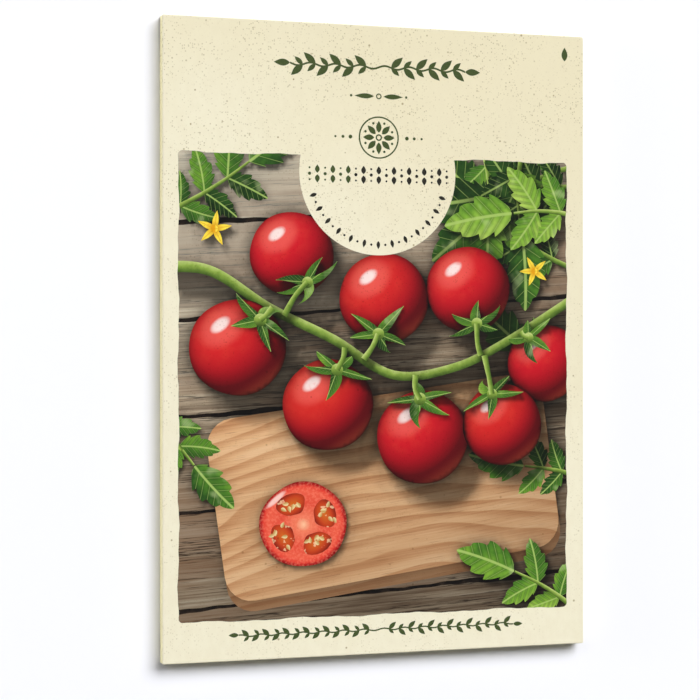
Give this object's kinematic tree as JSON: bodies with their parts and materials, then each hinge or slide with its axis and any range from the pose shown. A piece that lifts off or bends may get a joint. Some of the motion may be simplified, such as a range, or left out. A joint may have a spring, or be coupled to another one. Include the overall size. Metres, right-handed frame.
{
  "type": "seed packet",
  "caption": "Flat folded paper seed packet, closed by glued flaps on its back, with a loose layer of round seeds inside.",
  "frame": {"origin": "on the surface that the packet lies on, under the middle of its back", "axes": "+X across the front from its left to its right edge, +Y towards its top edge, +Z out of the front"},
  "size_m": [0.113, 0.16, 0.0036],
  "materials": {
    "paper": "uncoated natural paper with fine flecks, matte print on the front",
    "seed": "matte, finely pitted seed coat"
  },
  "bodies": {
    "root": {"paper_packet": "paper", "seeds": "seed"}
  },
  "joints": []
}
